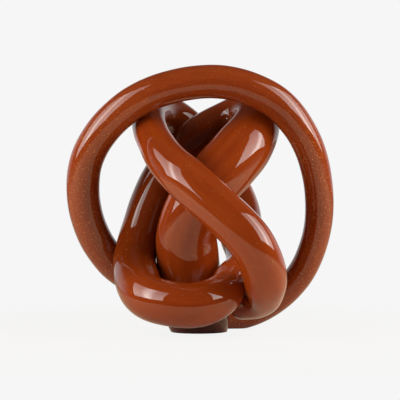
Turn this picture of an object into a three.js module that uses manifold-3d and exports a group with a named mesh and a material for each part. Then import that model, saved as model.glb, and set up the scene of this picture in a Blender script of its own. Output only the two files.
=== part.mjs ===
// Glass knot sculpture: one thick rod of brown glass laid in an over-and-under knot, held
// inside a thinner, separate ring of the same glass. Millimetres, +Z up, seen from -Y.
// The knot and the ring are built as the lengths between their bends, sealed end to end.
import * as THREE from 'three';
import { mergeVertices } from 'three/addons/utils/BufferGeometryUtils.js';
import Module from 'manifold-3d';

// Driving dimensions: rod diameters of the knot, in the order in which the rod runs
const HEEL = 28;
const FOOT = 38;
const FOOT_TOP = 38.6;
const ANKLE = 39.6;
const SHIN = 37.6;
const COLUMN = 36.2;
const COLUMN_NECK = 35;
const SHOULDER_RISE = 31.6;
const RIGHT_SHOULDER = 28.2;
const SADDLE = 27.6;
const FLANK_TOP = 26.6;
const FLANK = 25;
const CRADLE = 26;
const CRADLE_BEND = 27;
const CRADLE_END = 24.4;
const RETURN_NECK = 21.4;
const RETURN_TOP = 22;
const BACK_LEG = 26.6;
const LEFT_SHOULDER_BACK = 24;
const LEFT_SHOULDER = 21;
const SASH_TOP = 23.6;
const SASH = 26;
const HOOK = 25.6;
const HOOK_TURN = 21.6;
const HOOK_TAPER = 18.8;
const HOOK_TIP = 16;

// Driving dimensions: rod diameters of the ring, which thins down its right side
const RING_THICK = 19.8;
const RING_MIDDLE = 18.2;
const RING_SLIM = 17.2;
const RING_THIN = 16.6;

// Driving dimensions: how the ring leans, how far under the routes' zero the ground lies, what
// is ground off the ring so that it stands beside the foot, and how far the wheel reaches past
// the glass
const RING_TOP_FORWARD = 7.4;
const RING_FOOT_BACK = 36;
const GROUND_DROP = 1.2;
const GROUND_OFF = 0.4;
const WHEEL_MARGIN = 10;

// Clearance between two lengths of glass that lie against each other
const CLEARANCE = 0.35;

// Fineness: step along the rods, steps from one section to the next, sides of a section,
// sections of a rounded tip, and measuring points along a route for each point of it
const STEP = 2.5;
const STEPS_PER_SECTION = 2;
const KNOT_SIDES = 22;
const RING_SIDES = 18;
const TIP_SECTIONS = 4;
const MEASURES_PER_POINT = 40;

// Laying: passes that soften the bends, passes that spread a push, and the most rounds of
// settling and the overlap that ends it
const SOFTENING_PASSES = 8;
const SPREADING_PASSES = 4;
const SETTLING_ROUNDS = 200;
const SETTLED = 0.02;

const KNOT_COLOUR = 0x84320f;
const RING_COLOUR = 0x87381a;
const POLISHED = 0.06;

// The knot's route, from the foot to the hook's tip: x, y, z and rod diameter at each point.
// Each length runs from its own first point to the first point of the next one.
const KNOT_LENGTHS = [
  {
    name: 'foot_column',
    route: [
      [0, 10.5, -7, HEEL],
      [-0.6, 10.5, 4, FOOT],
      [-3.6, 10.2, 15, FOOT_TOP],
      [-6.8, 9, 29, ANKLE],
      [-8.4, 6.6, 42, SHIN],
      [-8.6, 2.6, 57, COLUMN],
      [-5, -2.4, 70, COLUMN_NECK],
    ],
  },
  {
    name: 'right_shoulder',
    route: [
      [2, -5.2, 83, COLUMN_NECK],
      [11.5, -3, 93.5, COLUMN_NECK],
      [20, 1.8, 103, COLUMN_NECK],
      [26.8, 6.7, 111.4, COLUMN_NECK],
      [31.3, 10.6, 118, SHOULDER_RISE],
      [34.3, 19.6, 127, RIGHT_SHOULDER],
      [31.5, 29, 130.4, RIGHT_SHOULDER],
      [24, 36.3, 129.3, RIGHT_SHOULDER],
    ],
  },
  {
    name: 'back_saddle',
    route: [
      [14, 38.5, 124.5, SADDLE],
      [3, 37, 118, SADDLE],
      [-12, 33, 106, SADDLE],
    ],
  },
  {
    name: 'left_flank',
    route: [
      [-22, 27, 92, SADDLE],
      [-30, 23.5, 76, FLANK_TOP],
      [-35.2, 19, 61.5, FLANK],
      [-38.8, 13, 49, FLANK],
    ],
  },
  {
    name: 'front_cradle',
    route: [
      [-38.8, 2, 38.5, CRADLE],
      [-36.9, -12, 29.5, CRADLE_BEND],
      [-30.5, -26.5, 21.5, CRADLE],
      [-14, -37, 18, CRADLE],
      [-1, -37.5, 17.6, CRADLE],
    ],
  },
  {
    name: 'right_return',
    route: [
      [10, -31, 21.8, CRADLE_END],
      [19.5, -15.5, 29, RETURN_NECK],
      [25.5, -1.5, 37, RETURN_NECK],
      [27, 11, 46, RETURN_TOP],
    ],
  },
  {
    name: 'back_leg',
    route: [
      [25, 23, 56, BACK_LEG],
      [24.2, 35, 69.5, BACK_LEG],
      [17.8, 48, 86, BACK_LEG],
      [5, 58, 106, BACK_LEG],
    ],
  },
  {
    name: 'left_shoulder',
    route: [
      [-7, 61.5, 121, BACK_LEG],
      [-17.5, 56, 131, LEFT_SHOULDER_BACK],
      [-26.5, 43, 134, LEFT_SHOULDER],
      [-30.5, 27, 131, LEFT_SHOULDER],
      [-31, 10, 123.5, LEFT_SHOULDER],
    ],
  },
  {
    name: 'front_sash',
    route: [
      [-27, -5, 113.5, LEFT_SHOULDER],
      [-19, -21, 101, SASH_TOP],
      [-8, -32.2, 90.5, SASH],
      [5, -40, 78.5, SASH],
      [18, -46, 66.5, SASH],
    ],
  },
  {
    name: 'right_hook',
    route: [
      [29, -48.5, 54.5, SASH],
      [35.2, -45, 42, HOOK],
      [37.6, -37, 32, HOOK],
      [37.4, -26, 24.5, HOOK_TURN],
      [34, -14.5, 19.5, HOOK_TAPER],
      [24.5, -6, 17.5, HOOK_TIP],
    ],
  },
];

// The ring's route, round from its crown by the right side: x, z and rod diameter at each
// point. It was closed by hand and is no true circle. Its y follows from its lean.
const RING_LENGTHS = [
  {
    name: 'ring_crown',
    route: [
      [-31, 141.3, RING_THICK],
      [3, 149, RING_THICK],
      [24, 146.6, RING_THICK],
    ],
  },
  {
    name: 'ring_right',
    route: [
      [47, 135.7, RING_THICK],
      [64.5, 112.5, RING_MIDDLE],
      [72, 84, RING_SLIM],
      [71.2, 58.5, RING_THIN],
    ],
  },
  {
    name: 'ring_base',
    route: [
      [62, 33.5, RING_THIN],
      [46.3, 16.5, RING_THIN],
      [26, RING_THIN / 2 - GROUND_OFF - GROUND_DROP, RING_THIN],
      [3, RING_SLIM / 2 - GROUND_OFF - GROUND_DROP, RING_SLIM],
      [-20, 15.8, RING_MIDDLE],
    ],
  },
  {
    name: 'ring_left',
    route: [
      [-42.7, 31, RING_THICK],
      [-61.7, 50, RING_THICK],
      [-70.7, 76, RING_THICK],
      [-69, 102, RING_THICK],
      [-55.3, 124, RING_THICK],
    ],
  },
];

// A rod: points a step apart along a smooth curve through a route, the rod's radius at each,
// and the point at which each length starts.
function layRod(lengths, closed, placePoint) {
  const route = lengths.flatMap((length) => length.route);
  const curve = new THREE.CatmullRomCurve3(route.map(placePoint), closed, 'centripetal');
  curve.arcLengthDivisions = MEASURES_PER_POINT * route.length;
  const spans = closed ? route.length : route.length - 1;
  const stride = STEP * STEPS_PER_SECTION;
  const steps = STEPS_PER_SECTION * Math.round(curve.getLength() / stride);
  const count = closed ? steps : steps + 1;
  const rod = { points: [], radii: [], starts: [], closed, lengths };
  const places = [];
  for (let i = 0; i < count; i += 1) {
    const t = curve.getUtoTmapping(i / steps);
    const place = t * spans;
    const from = Math.min(Math.floor(place), spans - 1);
    const blend = THREE.MathUtils.smoothstep(place, from, from + 1);
    const diameterFrom = route[from].at(-1);
    const diameterTo = route[(from + 1) % route.length].at(-1);
    rod.points.push(curve.getPoint(t));
    rod.radii.push(THREE.MathUtils.lerp(diameterFrom, diameterTo, blend) / 2);
    places.push(place);
  }
  let first = 0;
  for (const length of lengths) {
    const at = places.findIndex((place) => place >= first);
    rod.starts.push(Math.round(at / STEPS_PER_SECTION) * STEPS_PER_SECTION);
    first += length.route.length;
  }
  return rod;
}

function neighbours(rod, i) {
  const count = rod.points.length;
  if (rod.closed) return [(i + count - 1) % count, (i + 1) % count];
  return [Math.max(i - 1, 0), Math.min(i + 1, count - 1)];
}

// One pass of the 1-2-1 average along a rod, on any list of vectors that has its length
function averageVectors(rod, vectors) {
  return vectors.map((vector, i) => {
    const [before, after] = neighbours(rod, i);
    return vectors[before].clone().add(vectors[after]).addScaledVector(vector, 2).divideScalar(4);
  });
}

// Soft glass rounds its bends: the ends of an open rod stay where they are
function softenBends(rod) {
  const last = rod.points.length - 1;
  for (let pass = 0; pass < SOFTENING_PASSES; pass += 1) {
    const softer = averageVectors(rod, rod.points);
    const radii = rod.radii.map((radius, i) => {
      const [before, after] = neighbours(rod, i);
      return (rod.radii[before] + 2 * radius + rod.radii[after]) / 4;
    });
    if (!rod.closed) {
      softer[0] = rod.points[0];
      softer[last] = rod.points[last];
    }
    rod.points = softer;
    rod.radii = radii;
  }
}

// Two points of one rod lie in the same bend if the way along it from one to the other is
// shorter than half a turn at the rod's own radius, the tightest turn that it can make
function inSameBend(rod, i, j) {
  const apart = Math.abs(i - j);
  const steps = rod.closed ? Math.min(apart, rod.points.length - apart) : apart;
  return steps * STEP < (Math.PI * (rod.radii[i] + rod.radii[j])) / 2;
}

// The push that clears one point of a rod from the glass that presses hardest on it
function pushOn(rods, rod, i) {
  const push = new THREE.Vector3();
  let worst = 0;
  for (const other of rods) {
    for (let j = 0; j < other.points.length; j += 1) {
      if (other === rod && inSameBend(rod, i, j)) continue;
      const reach = rod.radii[i] + other.radii[j] + CLEARANCE;
      const distance = rod.points[i].distanceTo(other.points[j]);
      if (reach - distance <= worst) continue;
      worst = reach - distance;
      push.subVectors(rod.points[i], other.points[j]).setLength(worst / 2);
    }
  }
  return { push, worst };
}

// The rods settle against each other: every push is spread along its rod, so it stays smooth,
// until each length lies its clearance from the next.
function settle(rods) {
  for (let round = 0; round < SETTLING_ROUNDS; round += 1) {
    let worst = 0;
    const pushes = rods.map((rod) => rod.points.map((point, i) => {
      const found = pushOn(rods, rod, i);
      worst = Math.max(worst, found.worst);
      return found.push;
    }));
    if (worst < SETTLED) return;
    rods.forEach((rod, r) => {
      let spread = pushes[r];
      for (let pass = 0; pass < SPREADING_PASSES; pass += 1) spread = averageVectors(rod, spread);
      rod.points.forEach((point, i) => point.add(spread[i]));
    });
  }
}

// Section frames that turn with a rod and never twist about it, with a closed rod's
// leftover twist shared out along it
function carryFrames(rod) {
  const tangents = rod.points.map((point, i) => {
    const [before, after] = neighbours(rod, i);
    return rod.points[after].clone().sub(rod.points[before]).normalize();
  });
  const side = new THREE.Vector3(0, 1, 0);
  side.addScaledVector(tangents[0], -side.dot(tangents[0])).normalize();
  const turn = new THREE.Quaternion();
  const sides = [side];
  for (let i = 1; i < tangents.length; i += 1) {
    turn.setFromUnitVectors(tangents[i - 1], tangents[i]);
    sides.push(sides[i - 1].clone().applyQuaternion(turn));
  }
  if (rod.closed) {
    turn.setFromUnitVectors(tangents.at(-1), tangents[0]);
    const back = sides.at(-1).clone().applyQuaternion(turn);
    const cross = new THREE.Vector3().crossVectors(back, sides[0]);
    const twist = Math.atan2(cross.dot(tangents[0]), back.dot(sides[0]));
    sides.forEach((vector, i) => vector.applyAxisAngle(tangents[i], (twist * i) / sides.length));
  }
  rod.tangents = tangents;
  rod.sides = sides;
}

// One round section of a rod, as its centre and the points round it
function sectionAt(rod, i, sideCount, radius = rod.radii[i], forward = 0) {
  const centre = rod.points[i].clone().addScaledVector(rod.tangents[i], forward);
  const up = new THREE.Vector3().crossVectors(rod.tangents[i], rod.sides[i]);
  const rim = Array.from({ length: sideCount }, (unused, k) => {
    const angle = (2 * Math.PI * k) / sideCount;
    return centre.clone()
      .addScaledVector(rod.sides[i], radius * Math.cos(angle))
      .addScaledVector(up, radius * Math.sin(angle));
  });
  return { centre, rim };
}

// A closed skin over a run of sections, with a flat fan over each end
function skin(sections) {
  const sideCount = sections[0].rim.length;
  const vertices = sections.flatMap((section) => section.rim);
  const lastRim = (sections.length - 1) * sideCount;
  const startCentre = vertices.push(sections[0].centre) - 1;
  const endCentre = vertices.push(sections.at(-1).centre) - 1;
  const faces = [];
  for (let k = 0; k < sideCount; k += 1) {
    const next = (k + 1) % sideCount;
    for (let rim = 0; rim < lastRim; rim += sideCount) {
      faces.push(rim + k, rim + next, rim + sideCount + next);
      faces.push(rim + k, rim + sideCount + next, rim + sideCount + k);
    }
    faces.push(startCentre, next, k);
    faces.push(endCentre, lastRim + k, lastRim + next);
  }
  const geometry = new THREE.BufferGeometry().setFromPoints(vertices);
  geometry.setIndex(faces);
  return geometry;
}

// The rounded tip of a free end: sections that shrink as a half sphere does
function tipSections(rod, sideCount) {
  const end = rod.points.length - 1;
  return Array.from({ length: TIP_SECTIONS }, (unused, k) => {
    const angle = ((k + 1) * Math.PI) / 2 / (TIP_SECTIONS + 1);
    const radius = rod.radii[end] * Math.cos(angle);
    return sectionAt(rod, end, sideCount, radius, rod.radii[end] * Math.sin(angle));
  });
}

const wasm = await Module();
wasm.setup();

function toSolid(geometry) {
  const bare = geometry.clone();
  bare.deleteAttribute('normal');
  bare.deleteAttribute('uv');
  const merged = mergeVertices(bare);
  return new wasm.Manifold(new wasm.Mesh({
    numProp: 3,
    vertProperties: new Float32Array(merged.attributes.position.array),
    triVerts: new Uint32Array(merged.index.array),
  }));
}

function toGeometry(solid) {
  const mesh = solid.getMesh();
  const geometry = new THREE.BufferGeometry();
  geometry.setAttribute('position', new THREE.BufferAttribute(mesh.vertProperties, 3));
  geometry.setIndex(new THREE.BufferAttribute(mesh.triVerts, 1));
  return geometry;
}

// Whatever reaches below the ground is ground away, which leaves a flat to stand on
function grindFlat(geometry) {
  geometry.computeBoundingBox();
  const { min, max } = geometry.boundingBox;
  if (min.z >= -GROUND_DROP) return geometry;
  const depth = WHEEL_MARGIN - min.z;
  const wheel = new THREE.BoxGeometry(
    max.x - min.x + 2 * WHEEL_MARGIN,
    max.y - min.y + 2 * WHEEL_MARGIN,
    depth,
  );
  wheel.translate((min.x + max.x) / 2, (min.y + max.y) / 2, -GROUND_DROP - depth / 2);
  return toGeometry(toSolid(geometry).subtract(toSolid(wheel)));
}

// Every length of a rod as its own named mesh: two lengths share one section where they meet
function rodMeshes(rod, sideCount, colour) {
  const count = rod.points.length;
  return rod.lengths.map((length, n) => {
    const isLast = n === rod.lengths.length - 1;
    const from = rod.starts[n];
    let to = isLast ? count - 1 : rod.starts[n + 1];
    if (isLast && rod.closed) to = count + rod.starts[0];
    const sections = [];
    for (let i = from; i <= to; i += STEPS_PER_SECTION) {
      sections.push(sectionAt(rod, i % count, sideCount));
    }
    if (isLast && !rod.closed) sections.push(...tipSections(rod, sideCount));
    const material = new THREE.MeshStandardMaterial({ color: colour, roughness: POLISHED, metalness: 0 });
    const mesh = new THREE.Mesh(grindFlat(skin(sections)), material);
    mesh.name = length.name;
    return mesh;
  });
}

// How far the ring leans: its crown stands forward of the knot, its base lies behind the foot
const RING_HEIGHTS = RING_LENGTHS.flatMap((length) => length.route.map((point) => point[1]));
const RING_LOW = Math.min(...RING_HEIGHTS);
const RING_HIGH = Math.max(...RING_HEIGHTS);
function leaningPoint([x, z]) {
  const y = THREE.MathUtils.mapLinear(z, RING_LOW, RING_HIGH, RING_FOOT_BACK, -RING_TOP_FORWARD);
  return new THREE.Vector3(x, y, z);
}

const knot = layRod(KNOT_LENGTHS, false, ([x, y, z]) => new THREE.Vector3(x, y, z));
const ring = layRod(RING_LENGTHS, true, leaningPoint);
const rods = [knot, ring];
rods.forEach(softenBends);
settle(rods);
rods.forEach(carryFrames);

const sculpture = new THREE.Group();
sculpture.add(...rodMeshes(knot, KNOT_SIDES, KNOT_COLOUR));
sculpture.add(...rodMeshes(ring, RING_SIDES, RING_COLOUR));

// The origin is on the ground, under the middle of the whole piece
const middle = new THREE.Box3().setFromObject(sculpture).getCenter(new THREE.Vector3());
sculpture.position.set(-middle.x, -middle.y, GROUND_DROP);

export default sculpture;
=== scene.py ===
import math

import bpy
import numpy as np
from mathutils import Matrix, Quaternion, Vector


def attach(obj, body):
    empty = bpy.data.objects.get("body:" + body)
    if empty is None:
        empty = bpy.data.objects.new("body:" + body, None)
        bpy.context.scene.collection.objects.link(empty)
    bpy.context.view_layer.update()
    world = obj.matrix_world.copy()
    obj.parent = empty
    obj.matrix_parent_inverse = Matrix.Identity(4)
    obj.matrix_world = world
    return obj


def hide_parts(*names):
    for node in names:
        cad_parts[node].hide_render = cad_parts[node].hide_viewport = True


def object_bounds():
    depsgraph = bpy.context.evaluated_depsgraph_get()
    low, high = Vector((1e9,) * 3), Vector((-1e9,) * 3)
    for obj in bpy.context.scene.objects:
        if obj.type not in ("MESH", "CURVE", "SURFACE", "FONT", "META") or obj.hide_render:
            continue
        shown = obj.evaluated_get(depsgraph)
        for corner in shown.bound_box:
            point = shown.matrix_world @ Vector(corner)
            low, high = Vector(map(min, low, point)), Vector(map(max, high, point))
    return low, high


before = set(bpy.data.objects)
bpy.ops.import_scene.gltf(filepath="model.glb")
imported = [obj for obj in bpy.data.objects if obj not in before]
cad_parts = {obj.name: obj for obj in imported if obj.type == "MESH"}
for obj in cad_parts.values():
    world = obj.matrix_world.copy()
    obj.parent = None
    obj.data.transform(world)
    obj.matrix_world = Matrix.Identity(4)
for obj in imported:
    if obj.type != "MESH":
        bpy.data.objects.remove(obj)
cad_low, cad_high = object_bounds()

# The looks of a glass knot sculpture. The rods of the knot and of the ring are laid along the
# same routes as the solids, then swept as smooth, hand-drawn glass.
MM = 0.001

# Rods: the route of each length, as x, y, z and rod diameter in millimetres
KNOT_ROUTES = {
    "foot_column": [
        (0, 10.5, -7, 28),
        (-0.6, 10.5, 4, 38),
        (-3.6, 10.2, 15, 38.6),
        (-6.8, 9, 29, 39.6),
        (-8.4, 6.6, 42, 37.6),
        (-8.6, 2.6, 57, 36.2),
        (-5, -2.4, 70, 35),
    ],
    "right_shoulder": [
        (2, -5.2, 83, 35),
        (11.5, -3, 93.5, 35),
        (20, 1.8, 103, 35),
        (26.8, 6.7, 111.4, 35),
        (31.3, 10.6, 118, 31.6),
        (34.3, 19.6, 127, 28.2),
        (31.5, 29, 130.4, 28.2),
        (24, 36.3, 129.3, 28.2),
    ],
    "back_saddle": [
        (14, 38.5, 124.5, 27.6),
        (3, 37, 118, 27.6),
        (-12, 33, 106, 27.6),
    ],
    "left_flank": [
        (-22, 27, 92, 27.6),
        (-30, 23.5, 76, 26.6),
        (-35.2, 19, 61.5, 25),
        (-38.8, 13, 49, 25),
    ],
    "front_cradle": [
        (-38.8, 2, 38.5, 26),
        (-36.9, -12, 29.5, 27),
        (-30.5, -26.5, 21.5, 26),
        (-14, -37, 18, 26),
        (-1, -37.5, 17.6, 26),
    ],
    "right_return": [
        (10, -31, 21.8, 24.4),
        (19.5, -15.5, 29, 21.4),
        (25.5, -1.5, 37, 21.4),
        (27, 11, 46, 22),
    ],
    "back_leg": [
        (25, 23, 56, 26.6),
        (24.2, 35, 69.5, 26.6),
        (17.8, 48, 86, 26.6),
        (5, 58, 106, 26.6),
    ],
    "left_shoulder": [
        (-7, 61.5, 121, 26.6),
        (-17.5, 56, 131, 24),
        (-26.5, 43, 134, 21),
        (-30.5, 27, 131, 21),
        (-31, 10, 123.5, 21),
    ],
    "front_sash": [
        (-27, -5, 113.5, 21),
        (-19, -21, 101, 23.6),
        (-8, -32.2, 90.5, 26),
        (5, -40, 78.5, 26),
        (18, -46, 66.5, 26),
    ],
    "right_hook": [
        (29, -48.5, 54.5, 26),
        (35.2, -45, 42, 25.6),
        (37.6, -37, 32, 25.6),
        (37.4, -26, 24.5, 21.6),
        (34, -14.5, 19.5, 18.8),
        (24.5, -6, 17.5, 16),
    ],
}

# The ring's route, as x, z and rod diameter: its y follows from its lean
RING_ROUTES = {
    "ring_crown": [
        (-31, 141.3, 19.8),
        (3, 149, 19.8),
        (24, 146.6, 19.8),
    ],
    "ring_right": [
        (47, 135.7, 19.8),
        (64.5, 112.5, 18.2),
        (72, 84, 17.2),
        (71.2, 58.5, 16.6),
    ],
    "ring_base": [
        (62, 33.5, 16.6),
        (46.3, 16.5, 16.6),
        (26, 6.7, 16.6),
        (3, 7, 17.2),
        (-20, 15.8, 18.2),
    ],
    "ring_left": [
        (-42.7, 31, 19.8),
        (-61.7, 50, 19.8),
        (-70.7, 76, 19.8),
        (-69, 102, 19.8),
        (-55.3, 124, 19.8),
    ],
}
RING_TOP_FORWARD = 7.4
RING_FOOT_BACK = 36

# How far under the routes' zero the ground lies
GROUND_DROP = 1.2

# Laying the rods, in millimetres, as the solids are laid
STEP = 2.5
STEPS_PER_SECTION = 2
MEASURES_PER_POINT = 40
SOFTENING_PASSES = 8
SPREADING_PASSES = 4
SETTLING_ROUNDS = 200
SETTLED = 0.02
CLEARANCE = 0.35

# Fineness of the swept skins
ROWS_PER_STEP = 4
KNOT_SIDES = 96
RING_SIDES = 72
TIP_ROWS = 24

# How much fuller than the solids the rods are drawn, so that rods at rest on each other all but touch
FULLER = 0.16

# The pale sheet under the object, in metres from its middle
SHEET_SIDE = 1.5
SHEET_FRONT = 0.34
SHEET_BACK = 3.0

# The level of the pale background, as a linear colour
BACKGROUND = (0.921, 0.921, 0.921, 1)

# Painted shade on runs of the rod: the share of the brown that is left there, and the metres over
# which it fades
PAINTED_SHADE_SHARE = 0.55
PAINTED_SHADE_FADE = 0.03

# The hand's traces: slow swellings of the rod and a slight flatness of its section
SWELL = 0.006
OVAL = 0.007
SWELL_LENGTHS = (47.0, 29.0, 17.5)


def points_between(route, closed, place):
    """Points of a curve through a route at the given places, a whole number being a route point.

    Each span is the cubic with the spans' end slopes, and a slope weighs the chords on either
    side by the square roots of their lengths, so the curve never loops at close points.
    """
    if closed:
        ring = np.concatenate([route[-1:], route, route[:2]])
    else:
        ring = np.concatenate([2 * route[:1] - route[1:2], route, 2 * route[-1:] - route[-2:-1]])
    spans = len(ring) - 3
    before, start, end, after = (ring[k : k + spans] for k in range(4))
    gaps = np.sqrt(np.linalg.norm(np.diff(ring, axis=0), axis=1))[:, None]
    first, middle, last = (gaps[k : k + spans] for k in range(3))
    slope_in = (start - before) / first - (end - before) / (first + middle) + (end - start) / middle
    slope_out = (end - start) / middle - (after - start) / (middle + last) + (after - end) / last
    span = np.minimum(place.astype(int), spans - 1)
    t = (place - span)[:, None]
    rise = t * t * (3 - 2 * t)
    leave = t * (1 - t) ** 2 * (slope_in * middle)[span]
    arrive = t * t * (t - 1) * (slope_out * middle)[span]
    return start[span] + rise * (end - start)[span] + leave + arrive


def lay_rod(routes, closed):
    """A rod as points a step apart along its route, their radii and each length's first point."""
    route = np.array([point for length in routes.values() for point in length], float)
    path, diameters = route[:, :3], route[:, 3]
    spans = len(route) - (0 if closed else 1)
    fine = np.linspace(0, spans, MEASURES_PER_POINT * len(route) + 1)
    chords = np.linalg.norm(np.diff(points_between(path, closed, fine), axis=0), axis=1)
    reached = np.concatenate([[0], np.cumsum(chords)])
    steps = STEPS_PER_SECTION * round(reached[-1] / (STEP * STEPS_PER_SECTION))
    place = np.interp(np.linspace(0, reached[-1], steps + 1), reached, fine)
    if closed:
        place = place[:-1]
    span = np.minimum(place.astype(int), spans - 1)
    t = place - span
    blend = t * t * (3 - 2 * t)
    to = diameters[(span + 1) % len(route)]
    radii = (diameters[span] * (1 - blend) + to * blend) / 2
    firsts = np.cumsum([0] + [len(length) for length in routes.values()])[:-1]
    starts = np.searchsorted(place, firsts)
    starts = STEPS_PER_SECTION * np.floor(starts / STEPS_PER_SECTION + 0.5).astype(int)
    return {
        "names": list(routes),
        "points": points_between(path, closed, place),
        "radii": radii,
        "starts": starts,
        "closed": closed,
    }


def averaged(values, closed):
    """One pass of the 1-2-1 average along a rod."""
    ends = (values[-1:], values[:1]) if closed else (values[:1], values[-1:])
    padded = np.concatenate([ends[0], values, ends[1]])
    return (padded[:-2] + 2 * padded[1:-1] + padded[2:]) / 4


def soften(rod):
    """Rounds the bends of a rod, whose open ends stay where they are."""
    for _ in range(SOFTENING_PASSES):
        softer = averaged(rod["points"], rod["closed"])
        if not rod["closed"]:
            softer[[0, -1]] = rod["points"][[0, -1]]
        rod["points"] = softer
        rod["radii"] = averaged(rod["radii"], rod["closed"])


def settle(rods):
    """Presses the rods apart until each length lies its clearance from the next.

    Every point is pushed by half of its worst overlap, straight away from the point that
    overlaps it, and the pushes are averaged along the rod, so that it stays smooth.
    """
    counts = [len(rod["radii"]) for rod in rods]
    radii = np.concatenate([rod["radii"] for rod in rods])
    owner = np.repeat(range(len(rods)), counts)
    order = np.concatenate([np.arange(count) for count in counts])
    apart = np.abs(order[:, None] - order[None])
    loop = np.array([count if rod["closed"] else 10**6 for rod, count in zip(rods, counts)])[owner]
    along = STEP * np.minimum(apart, np.abs(loop[:, None] - apart))
    both = radii[:, None] + radii[None]
    same_bend = (owner[:, None] == owner[None]) & (along < math.pi * both / 2)
    reach = np.where(same_bend, -1e9, both + CLEARANCE)
    pick = np.arange(len(radii))
    for _ in range(SETTLING_ROUNDS):
        points = np.concatenate([rod["points"] for rod in rods])
        away = points[:, None] - points[None]
        distance = np.linalg.norm(away, axis=2)
        overlap = reach - distance
        worst = overlap.argmax(axis=1)
        depth = np.maximum(overlap[pick, worst], 0)
        if depth.max() < SETTLED:
            return
        push = away[pick, worst] * (depth / 2 / np.maximum(distance[pick, worst], 1e-9))[:, None]
        for rod, spread in zip(rods, np.split(push, np.cumsum(counts)[:-1])):
            for _ in range(SPREADING_PASSES):
                spread = averaged(spread, rod["closed"])
            rod["points"] = rod["points"] + spread


def leaning_ring():
    """The ring's routes with their y: the ring leans back evenly from its crown to its base."""
    heights = [z for length in RING_ROUTES.values() for _, z, _ in length]
    low, high = min(heights), max(heights)
    slope = (RING_TOP_FORWARD + RING_FOOT_BACK) / (high - low)
    return {
        name: [(x, RING_FOOT_BACK - slope * (z - low), z, diameter) for x, z, diameter in length]
        for name, length in RING_ROUTES.items()
    }


def refined(values, closed):
    """Rows between a rod's points, on the uniform cubic through four neighbouring points."""
    values = values.reshape(len(values), -1)
    ends = (values[-1:], values[:2]) if closed else (values[:1], values[-1:])
    padded = np.concatenate([ends[0], values, ends[1]])
    spans = len(padded) - 3
    before, start, end, after = (padded[k : k + spans, None] for k in range(4))
    t = (np.arange(ROWS_PER_STEP) / ROWS_PER_STEP)[None, :, None]
    rows = start + t * (end - before) / 2
    rows = rows + t**2 * (2 * before - 5 * start + 4 * end - after) / 2
    rows = rows + t**3 * (3 * start - before - 3 * end + after) / 2
    rows = rows.reshape(-1, values.shape[1])
    return rows if closed else np.concatenate([rows, values[-1:]])


def carried_frames(points, closed):
    """Unit tangents and side vectors of a path: the sides turn with it and never twist about it.

    Each side is the last one mirrored twice, first across the plane between two points and then
    so that the tangents meet. A closed path's leftover twist is shared out along it.
    """
    if closed:
        tangents = np.roll(points, -1, axis=0) - np.roll(points, 1, axis=0)
    else:
        tangents = np.gradient(points, axis=0)
    tangents /= np.linalg.norm(tangents, axis=1)[:, None]
    side = np.array([0.0, 1.0, 0.0])
    side -= side @ tangents[0] * tangents[0]
    sides = [side / np.linalg.norm(side)]
    count = len(points)
    for i in range(count if closed else count - 1):
        chord = points[(i + 1) % count] - points[i]
        mirrored = sides[-1] - 2 * (chord @ sides[-1]) / (chord @ chord) * chord
        turned = tangents[i] - 2 * (chord @ tangents[i]) / (chord @ chord) * chord
        across = tangents[(i + 1) % count] - turned
        sides.append(mirrored - 2 * (across @ mirrored) / max(across @ across, 1e-12) * across)
    sides = np.array(sides)
    if closed:
        twist = math.atan2(np.cross(sides[-1], sides[0]) @ tangents[0], sides[-1] @ sides[0])
        angle = (twist * np.arange(count) / count)[:, None]
        sides = sides[:-1]
        sides = np.cos(angle) * sides + np.sin(angle) * np.cross(tangents, sides)
    return tangents, sides


def hand_drawn(along, angle):
    """How far the section's radius strays from round, as a share of it.

    The sum of three slow waves along the rod, each turning about it, and a two-lobed flatness.
    """
    turns = [2 * math.pi * along / length for length in SWELL_LENGTHS]
    waves = [np.sin(turn + k + k * angle) for k, turn in enumerate(turns)]
    flat = np.cos(2 * angle + turns[0] / 4)
    return SWELL * sum(waves) / len(waves) + OVAL * flat / 2


def sweep(rod, side_count):
    """The skin of a rod: its round, slightly hand-drawn section carried along its path.

    Returns the grid of points, the grid of normals and, as the rod would lie if it were drawn
    straight, the grid of places along and across it.
    """
    points = refined(rod["points"], rod["closed"])
    radii = refined(rod["radii"], rod["closed"]) + FULLER
    tangents, sides = carried_frames(points, rod["closed"])
    ups = np.cross(tangents, sides)
    along = np.arange(len(points)) * STEP / ROWS_PER_STEP
    if not rod["closed"]:
        lift = np.linspace(0, math.pi / 2, TIP_ROWS + 1)[1:]
        tip = points[-1:] + radii[-1] * np.sin(lift)[:, None] * tangents[-1:]
        points = np.concatenate([points, tip])
        along = np.concatenate([along, along[-1] + radii[-1] * np.sin(lift)])
        radii = np.concatenate([radii, radii[-1] * np.cos(lift)[:, None]])
        sides = np.concatenate([sides, np.repeat(sides[-1:], TIP_ROWS, axis=0)])
        ups = np.concatenate([ups, np.repeat(ups[-1:], TIP_ROWS, axis=0)])
    angle = 2 * math.pi * np.arange(side_count) / side_count
    reach = radii * (1 + hand_drawn(along[:, None], angle[None]))
    across = reach * np.cos(angle)
    over = reach * np.sin(angle)
    grid = points[:, None] + across[..., None] * sides[:, None] + over[..., None] * ups[:, None]
    straight = np.stack([np.broadcast_to(along[:, None], across.shape), across, over], axis=-1)
    return grid, grid_normals(grid, rod["closed"]), straight


def grid_normals(grid, closed):
    """Unit normals of a grid: the way along it crossed with the way round it."""
    round_it = np.roll(grid, -1, axis=1) - np.roll(grid, 1, axis=1)
    if closed:
        along_it = np.roll(grid, -1, axis=0) - np.roll(grid, 1, axis=0)
    else:
        along_it = np.gradient(grid, axis=0)
    normals = np.cross(round_it, along_it)
    return normals / np.maximum(np.linalg.norm(normals, axis=-1, keepdims=True), 1e-12)


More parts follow.
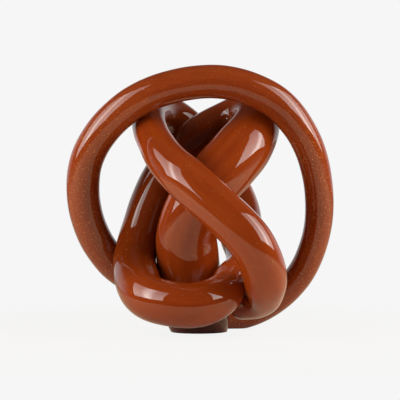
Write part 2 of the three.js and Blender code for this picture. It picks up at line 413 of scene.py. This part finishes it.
def skin_piece(name, grid, normals, straight, material):
    """A closed piece over rows of a swept skin, with a flat fan over either end.

    Side faces are shaded by the whole rod's normals, so no seam shows where two lengths meet.
    """
    rows, side_count = grid.shape[:2]
    row, column = np.meshgrid(np.arange(rows - 1), np.arange(side_count), indexing="ij")
    after = (column + 1) % side_count
    corner = row * side_count
    beyond = corner + side_count
    quads = np.stack([corner + column, corner + after, beyond + after, beyond + column], -1)
    quads = quads.reshape(-1, 4)
    rim = np.arange(side_count)
    following = (rim + 1) % side_count
    first_centre = np.full(side_count, rows * side_count)
    last_rim = (rows - 1) * side_count
    first_fan = np.stack([first_centre, following, rim], -1)
    last_fan = np.stack([first_centre + 1, last_rim + rim, last_rim + following], -1)
    centres = np.stack([grid[0].mean(axis=0), grid[-1].mean(axis=0)])
    vertices = np.concatenate([grid.reshape(-1, 3), centres])
    facing = np.cross(grid[0, 0] - centres[0], grid[0, side_count // 4] - centres[0])
    first_facing = -facing / np.linalg.norm(facing)
    facing = np.cross(grid[-1, 0] - centres[1], grid[-1, side_count // 4] - centres[1])
    size = np.linalg.norm(facing)
    last_facing = facing / size if size > 1e-14 else normals[-1, 0]
    corners = np.concatenate([quads.ravel(), first_fan.ravel(), last_fan.ravel()])
    sizes = np.concatenate([np.full(len(quads), 4), np.full(2 * side_count, 3)])
    corner_normals = np.concatenate(
        [
            normals.reshape(-1, 3)[quads.ravel()],
            np.tile(first_facing, (3 * side_count, 1)),
            np.tile(last_facing, (3 * side_count, 1)),
        ]
    )
    mesh = bpy.data.meshes.new(name)
    mesh.vertices.add(len(vertices))
    mesh.vertices.foreach_set("co", (vertices * MM).astype(np.float32).ravel())
    mesh.loops.add(len(corners))
    mesh.loops.foreach_set("vertex_index", corners.astype(np.int32))
    mesh.polygons.add(len(sizes))
    mesh.polygons.foreach_set("loop_start", (np.cumsum(sizes) - sizes).astype(np.int32))
    mesh.update(calc_edges=True)
    drawn = mesh.attributes.new("drawn_straight", "FLOAT_VECTOR", "POINT")
    centre_places = np.stack([straight[0].mean(axis=0), straight[-1].mean(axis=0)])
    places = np.concatenate([straight.reshape(-1, 3), centre_places]) * MM
    drawn.data.foreach_set("vector", places.astype(np.float32).ravel())
    mesh.polygons.foreach_set("use_smooth", np.ones(len(sizes), bool))
    mesh.normals_split_custom_set(corner_normals)
    mesh.validate()
    piece = bpy.data.objects.new(name, mesh)
    bpy.context.scene.collection.objects.link(piece)
    mesh.materials.append(material)
    return piece


def glass_lengths(rod, side_count, shift, material):
    """One piece for each length of a rod, in the place of the solid of that name."""
    grid, normals, straight = sweep(rod, side_count)
    grid = grid + shift
    ground = grid[..., 2] < 0
    grid[..., 2] = np.maximum(grid[..., 2], 0)
    normals[ground] = (0, 0, -1)
    if rod["closed"]:
        lap = 1 + rod["starts"][0] * ROWS_PER_STEP
        once_round = len(grid) * STEP / ROWS_PER_STEP
        grid = np.concatenate([grid, grid[:lap]])
        normals = np.concatenate([normals, normals[:lap]])
        straight = np.concatenate([straight, straight[:lap] + (once_round, 0, 0)])
    ends = [*rod["starts"][1:] * ROWS_PER_STEP, len(grid) - 1]
    for name, first, last in zip(rod["names"], rod["starts"] * ROWS_PER_STEP, ends):
        rows = slice(first, last + 1)
        piece = skin_piece(name + "_glass", grid[rows], normals[rows], straight[rows], material)
        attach(piece, "root")
        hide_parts(name)


def new_material(name):
    """An empty node material and its tree."""
    material = bpy.data.materials.new(name)
    material.use_nodes = True
    material.node_tree.nodes.clear()
    return material, material.node_tree


def add_node(tree, kind, **sockets):
    """A node with values set on its sockets by name, with spaces as underscores."""
    node = tree.nodes.new(kind)
    for name, value in sockets.items():
        node.inputs[name.replace("_", " ")].default_value = value
    return node


def faded(tree, value, start, end, first, last):
    """A socket that eases from the first level to the last while a value goes from start to end."""
    fade = add_node(tree, "ShaderNodeMapRange")
    fade.interpolation_type = "SMOOTHSTEP"
    fade.inputs["From Min"].default_value = start
    fade.inputs["From Max"].default_value = end
    fade.inputs["To Min"].default_value = first
    fade.inputs["To Max"].default_value = last
    tree.links.new(value, fade.inputs["Value"])
    return fade.outputs["Result"]


def linear(red, green, blue):
    """An 8-bit display colour as the linear colour that a shader takes."""
    shares = np.array([red, green, blue]) / 255
    light = np.where(shares <= 0.04045, shares / 12.92, ((shares + 0.055) / 1.055) ** 2.4)
    return (*light.tolist(), 1.0)


def worked(tree, operation, first, second):
    """What one math node makes of a socket and of a second socket or a plain number."""
    node = add_node(tree, "ShaderNodeMath")
    node.operation = operation
    tree.links.new(first, node.inputs[0])
    if isinstance(second, float):
        node.inputs[1].default_value = second
    else:
        tree.links.new(second, node.inputs[1])
    return node.outputs[0]


def brown_glass(name, deep, warm, seed_colour, seed_share, painted_shade_runs):
    """Opaque brown glass: slow clouds of two browns, streaks along the draw and golden seeds.

    The browns carry painted shade: they are darker along the runs of the rod that are given by start
    and end, in metres. The seeds show on the sides and low down, and much less in the top of the
    piece.
    """
    material, tree = new_material(name)
    link = tree.links.new
    output = add_node(tree, "ShaderNodeOutputMaterial")
    shader = add_node(tree, "ShaderNodeBsdfPrincipled", Roughness=0.03, IOR=1.47)
    link(shader.outputs["BSDF"], output.inputs["Surface"])

    place = add_node(tree, "ShaderNodeTexCoord")
    drawn = add_node(tree, "ShaderNodeAttribute")
    drawn.attribute_name = "drawn_straight"

    clouds = add_node(tree, "ShaderNodeTexNoise", Scale=22.0, Detail=3.0, Roughness=0.5)
    link(place.outputs["Object"], clouds.inputs["Vector"])
    stretch = add_node(tree, "ShaderNodeMapping", Scale=(9.0, 160.0, 160.0))
    link(drawn.outputs["Vector"], stretch.inputs["Vector"])
    streaks = add_node(tree, "ShaderNodeTexNoise", Scale=1.0, Detail=4.0, Roughness=0.55)
    link(stretch.outputs["Vector"], streaks.inputs["Vector"])
    marbling = add_node(tree, "ShaderNodeMix", Factor=0.5)
    link(clouds.outputs["Fac"], marbling.inputs["A"])
    link(streaks.outputs["Fac"], marbling.inputs["B"])
    browns = add_node(tree, "ShaderNodeValToRGB")
    for stop, position, brown in zip(browns.color_ramp.elements, (0.35, 0.65), (deep, warm)):
        stop.position = position
        stop.color = brown
    link(marbling.outputs["Result"], browns.inputs["Fac"])

    brown = browns.outputs["Color"]
    along = add_node(tree, "ShaderNodeSeparateXYZ")
    link(drawn.outputs["Vector"], along.inputs["Vector"])
    # Painted shade: each run darkens the browns to the given share, fading in and out at its ends
    for start, end in painted_shade_runs:
        before = faded(tree, along.outputs["X"], start, start + PAINTED_SHADE_FADE, 1.0, PAINTED_SHADE_SHARE)
        after = faded(tree, along.outputs["X"], end - PAINTED_SHADE_FADE, end, PAINTED_SHADE_SHARE, 1.0)
        darker = add_node(tree, "ShaderNodeHueSaturation")
        link(brown, darker.inputs["Color"])
        link(worked(tree, "MAXIMUM", before, after), darker.inputs["Value"])
        brown = darker.outputs["Color"]

    cells = add_node(tree, "ShaderNodeTexVoronoi", Scale=1000.0)
    link(place.outputs["Object"], cells.inputs["Vector"])
    near = faded(tree, cells.outputs["Distance"], 0.12, 0.28, 1.0, 0.0)
    chance = add_node(tree, "ShaderNodeSeparateColor")
    link(cells.outputs["Color"], chance.inputs["Color"])
    chosen = worked(tree, "LESS_THAN", chance.outputs["Red"], seed_share)
    strength = worked(tree, "MULTIPLY", chance.outputs["Green"], chosen)
    height = add_node(tree, "ShaderNodeSeparateXYZ")
    link(place.outputs["Object"], height.inputs["Vector"])
    low_down = faded(tree, height.outputs["Z"], 0.11, 0.15, 1.0, 0.3)
    seeds = worked(tree, "MULTIPLY", near, worked(tree, "MULTIPLY", strength, low_down))
    colour = add_node(tree, "ShaderNodeMix")
    colour.data_type = "RGBA"
    link(seeds, colour.inputs["Factor"])
    link(brown, colour.inputs[6])
    colour.inputs[7].default_value = seed_colour
    link(colour.outputs[2], shader.inputs["Base Color"])
    return material


def add_camera(middle):
    """A level camera a metre in front of the knot's own middle, with a long lens."""
    camera = bpy.data.objects.new("camera", bpy.data.cameras.new("camera"))
    bpy.context.scene.collection.objects.link(camera)
    camera.data.sensor_width = 36
    camera.data.lens = 150.2
    camera.location = middle + Vector((-0.0002, -1.0, 0.0784))
    camera.rotation_euler = (math.pi / 2, 0, 0)
    bpy.context.scene.camera = camera


def add_softbox(name, azimuth, elevation, reach, roll, width, height, power):
    """A soft lamp close to the object, in a direction given in degrees, 0 being the camera's side.

    It faces the object and is rolled about that line. Its cloth shows the bright stripe of the
    upright tube behind it, and is brighter towards its foot.
    """
    lamp = bpy.data.lights.new(name, "AREA")
    lamp.shape = "RECTANGLE"
    lamp.size = width
    lamp.size_y = height
    lamp.energy = power
    lamp.use_nodes = True
    tree = lamp.node_tree
    tree.nodes.clear()
    output = add_node(tree, "ShaderNodeOutputLight")
    glow = add_node(tree, "ShaderNodeEmission", Color=(1.0, 1.0, 0.95, 1))
    cloth = add_node(tree, "ShaderNodeNewGeometry")
    place = add_node(tree, "ShaderNodeSeparateXYZ")
    tree.links.new(cloth.outputs["Parametric"], place.inputs["Vector"])
    stripe = faded(tree, worked(tree, "PINGPONG", place.outputs["X"], 0.5), 0.3, 0.5, 0.86, 2.1)
    falling = faded(tree, place.outputs["Y"], 0.0, 1.0, 1.35, 0.65)
    tree.links.new(worked(tree, "MULTIPLY", stripe, falling), glow.inputs["Strength"])
    tree.links.new(glow.outputs["Emission"], output.inputs["Surface"])
    turn, rise = math.radians(azimuth), math.radians(elevation)
    outward = math.cos(rise)
    away = Vector((math.sin(turn) * outward, -math.cos(turn) * outward, math.sin(rise)))
    softbox = bpy.data.objects.new(name, lamp)
    softbox.location = Vector((0, 0, 0.08)) + reach * away
    facing = away.to_track_quat("Z", "Y") @ Quaternion((0, 0, 1), math.radians(roll))
    softbox.rotation_euler = facing.to_euler()
    bpy.context.scene.collection.objects.link(softbox)


def seen_rays(tree, mirrored):
    """1 for camera rays and a given share for the rays that glass mirrors or lets through."""
    rays = add_node(tree, "ShaderNodeLightPath").outputs
    glass = worked(tree, "MAXIMUM", rays["Is Glossy Ray"], rays["Is Transmission Ray"])
    share = worked(tree, "MULTIPLY", glass, mirrored)
    return worked(tree, "MAXIMUM", rays["Is Camera Ray"], share)


def add_floor():
    """A sheet of pale paper under the object, which ends a little in front of it.

    The camera sees it at the background's level, with a trace of the object's shadow close by.
    Glass mirrors its matt paper, as the lamps light it, and a little of that level.
    """
    mesh = bpy.data.meshes.new("floor")
    left, right, front, back = -SHEET_SIDE, SHEET_SIDE, -SHEET_FRONT, SHEET_BACK
    corners = [(left, front, 0), (right, front, 0), (right, back, 0), (left, back, 0)]
    mesh.from_pydata(corners, [], [(0, 1, 2, 3)])
    floor = bpy.data.objects.new("floor", mesh)
    bpy.context.scene.collection.objects.link(floor)
    material, tree = new_material("pale_floor")
    link = tree.links.new
    output = add_node(tree, "ShaderNodeOutputMaterial")
    matt = add_node(tree, "ShaderNodeBsdfDiffuse", Color=(0.8, 0.67, 0.44, 1))
    glow = add_node(tree, "ShaderNodeEmission", Color=BACKGROUND, Strength=1.0)
    mix = add_node(tree, "ShaderNodeMixShader")
    place = add_node(tree, "ShaderNodeTexCoord")
    far = add_node(tree, "ShaderNodeVectorMath")
    far.operation = "LENGTH"
    link(place.outputs["Object"], far.inputs[0])
    plain = faded(tree, far.outputs["Value"], 0.08, 0.32, 0.95, 1.0)
    link(worked(tree, "MULTIPLY", plain, seen_rays(tree, 0.15)), mix.inputs["Fac"])
    link(matt.outputs["BSDF"], mix.inputs[1])
    link(glow.outputs["Emission"], mix.inputs[2])
    link(mix.outputs["Shader"], output.inputs["Surface"])
    mesh.materials.append(material)


def add_world():
    """A pale backdrop low behind the object and a dark studio above it and on the camera's side.

    The camera sees the backdrop all round, and glass mirrors it where it stands. It lights the
    object's back from all heights.
    """
    world = bpy.data.worlds.new("studio")
    bpy.context.scene.world = world
    world.use_nodes = True
    tree = world.node_tree
    tree.nodes.clear()
    link = tree.links.new
    output = add_node(tree, "ShaderNodeOutputWorld")
    pale = add_node(tree, "ShaderNodeBackground", Color=BACKGROUND, Strength=1.0)
    dark = add_node(tree, "ShaderNodeBackground", Color=(0.05, 0.05, 0.05, 1), Strength=1.0)
    direction = add_node(tree, "ShaderNodeTexCoord")
    axes = add_node(tree, "ShaderNodeSeparateXYZ")
    link(direction.outputs["Generated"], axes.inputs["Vector"])
    rays = add_node(tree, "ShaderNodeLightPath").outputs
    behind = faded(tree, axes.outputs["Y"], 0.1, 0.6, 0.0, 1.0)
    low_down = faded(tree, axes.outputs["Z"], 0.3, 0.6, 1.0, 0.0)
    heights = worked(tree, "MAXIMUM", low_down, rays["Is Diffuse Ray"])
    backdrop = worked(tree, "MULTIPLY", behind, heights)
    mix = add_node(tree, "ShaderNodeMixShader")
    link(worked(tree, "MAXIMUM", rays["Is Camera Ray"], backdrop), mix.inputs["Fac"])
    link(dark.outputs["Background"], mix.inputs[1])
    link(pale.outputs["Background"], mix.inputs[2])
    link(mix.outputs["Shader"], output.inputs["Surface"])


knot = lay_rod(KNOT_ROUTES, closed=False)
ring = lay_rod(leaning_ring(), closed=True)
for rod in (knot, ring):
    soften(rod)
settle([knot, ring])

# The solids stand with the middle of the whole piece over the origin: the rods follow them
laid = [(rod["points"], rod["radii"][:, None]) for rod in (knot, ring)]
low = np.min([(points - radii).min(axis=0) for points, radii in laid], axis=0)
high = np.max([(points + radii).max(axis=0) for points, radii in laid], axis=0)
shift = (np.array(cad_low + cad_high) / MM - low - high) / 2
shift[2] = GROUND_DROP

# Painted shade in the knot's glass: its browns are darker at its foot, along the saddle and the
# flank, and behind the left shoulder, where shade falls
starts = dict(zip(knot["names"], (knot["starts"] * STEP * MM).tolist()))
painted_shade_runs = [
    (-PAINTED_SHADE_FADE, 0.045),
    (starts["back_saddle"] - 0.03, starts["front_cradle"] + 0.03),
    (starts["left_shoulder"] - 0.05, starts["left_shoulder"] + 0.07),
]
knot_glass = brown_glass(
    "chestnut_glass",
    deep=linear(123, 43, 9),
    warm=linear(143, 57, 15),
    seed_colour=linear(196, 136, 76),
    seed_share=0.08,
    painted_shade_runs=painted_shade_runs,
)
ring_glass = brown_glass(
    "seeded_glass",
    deep=linear(117, 42, 13),
    warm=linear(137, 56, 19),
    seed_colour=linear(220, 146, 76),
    seed_share=0.9,
    painted_shade_runs=[],
)
glass_lengths(knot, KNOT_SIDES, shift, knot_glass)
glass_lengths(ring, RING_SIDES, shift, ring_glass)

add_camera(Vector(shift * MM))
add_floor()
add_world()
add_softbox("left_softbox", -65, 27, 0.43, roll=8, width=0.35, height=0.33, power=1.83)
add_softbox("right_softbox", 71, 30, 0.43, roll=-8, width=0.38, height=0.34, power=2.11)

bpy.context.scene.view_settings.view_transform = "Standard"
